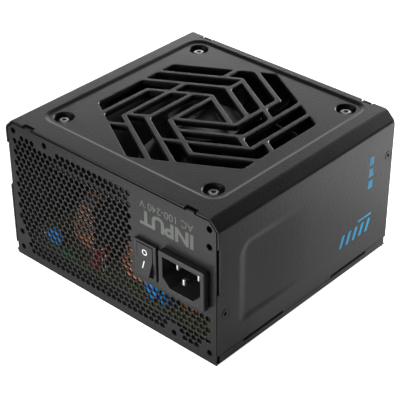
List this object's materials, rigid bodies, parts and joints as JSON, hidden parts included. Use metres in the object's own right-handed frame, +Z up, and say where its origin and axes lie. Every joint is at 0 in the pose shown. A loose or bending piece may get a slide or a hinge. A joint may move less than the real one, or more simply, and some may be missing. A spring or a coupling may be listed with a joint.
{
  "type": "computer power supply unit",
  "caption": "Box-shaped computer power supply with a hexagonal fan grille on top, a honeycomb-vented mains panel with inlet and rocker switch, and modular output sockets.",
  "frame": {"origin": "centre of the case's base, on its outer face", "axes": "+X to the right seen from the mains side (case width), +Z up through the fan grille, -Y out of the mains panel, +Y out of the output sockets"},
  "size_m": [0.15, 0.1462, 0.086],
  "materials": {
    "black_powder_coat": "fine textured satin black powder coat on folded steel sheet",
    "black_fan_plastic": "moulded glass-filled plastic, semi-matt",
    "plated_steel": "bright nickel plating",
    "sintered_bronze": "oiled sintered bronze",
    "copper_winding": "enamelled copper wire, glossy",
    "ferrite": "dull grey moulded ferrite",
    "zinc_steel_screw": "bare turned steel rim round a dark drive socket",
    "black_steel_screw": "blackened steel, slightly worn",
    "black_connector_plastic": "moulded connector plastic",
    "grey_black_plastic": "satin moulded plastic",
    "circuit_board": "resin board with an olive edge and green mask",
    "insulating_film": "thin dark plastic sheet",
    "blue_enamel": "dipped epoxy, glossy",
    "yellow_insulation": "polyester tape and moulded case",
    "capacitor_sleeve": "shrunk plastic sleeve with a scored aluminium top",
    "bare_aluminium": "extruded, lightly brushed",
    "brown_lead": "smooth plastic insulation",
    "blue_lead": "smooth plastic insulation",
    "green_lead": "green insulation with a yellow stripe",
    "black_lead": "black plastic sleeve"
  },
  "bodies": {
    "case": {"cover": "black_powder_coat", "chassis": "black_powder_coat", "fan_frame": "black_fan_plastic", "inlet_pin_live": "plated_steel", "inlet_pin_neutral": "plated_steel", "inlet_pin_earth": "plated_steel", "switch_terminal_1": "plated_steel", "switch_terminal_2": "plated_steel", "fan_bearing": "sintered_bronze", "fan_stator": "copper_winding", "boost_choke": "copper_winding", "line_choke": "copper_winding", "inlet_choke": "copper_winding", "fan_screw_1": "zinc_steel_screw", "fan_screw_2": "zinc_steel_screw", "fan_screw_3": "zinc_steel_screw", "fan_screw_4": "zinc_steel_screw", "board_screw_1": "zinc_steel_screw", "board_screw_2": "zinc_steel_screw", "board_screw_3": "zinc_steel_screw", "board_screw_4": "zinc_steel_screw", "case_screw_1": "black_steel_screw", "case_screw_2": "black_steel_screw", "case_screw_3": "black_steel_screw", "case_screw_4": "black_steel_screw", "socket_board_18": "black_connector_plastic", "socket_board_10": "black_connector_plastic", "socket_cpu_1": "black_connector_plastic", "socket_cpu_2": "black_connector_plastic", "socket_graphics_12": "black_connector_plastic", "socket_pcie_1": "black_connector_plastic", "socket_pcie_2": "black_connector_plastic", "socket_drive": "black_connector_plastic", "inlet_housing": "grey_black_plastic", "switch_housing": "grey_black_plastic", "main_circuit_board": "circuit_board", "socket_circuit_board": "circuit_board", "insulating_sheet": "insulating_film", "disc_capacitor_1": "blue_enamel", "disc_capacitor_2": "blue_enamel", "disc_capacitor_3": "blue_enamel", "film_capacitor": "yellow_insulation", "main_transformer": "yellow_insulation", "standby_transformer": "yellow_insulation", "bulk_capacitor": "capacitor_sleeve", "output_capacitor_1": "capacitor_sleeve", "output_capacitor_2": "capacitor_sleeve", "output_capacitor_3": "capacitor_sleeve", "primary_heatsink": "bare_aluminium", "secondary_heatsink": "bare_aluminium", "live_lead_to_switch": "brown_lead", "live_lead_to_board": "brown_lead", "neutral_lead": "blue_lead", "earth_lead": "green_lead", "fan_lead": "black_lead"},
    "fan": {"fan_rotor": "black_fan_plastic", "fan_shaft": "plated_steel", "fan_magnet_ring": "ferrite"},
    "rocker": {"switch_rocker": "grey_black_plastic"}
  },
  "joints": [
    {"name": "fan_spin", "type": "hinge", "parent": "case", "child": "fan", "pos_m": [0, 0.004, 0.07], "axis": [0, 0, 1], "continuous": true},
    {"name": "rocker_tilt", "type": "hinge", "parent": "case", "child": "rocker", "pos_m": [0.0281, -0.06896, 0.0442], "axis": [1, 0, 0], "range_deg": [0, 21]}
  ]
}
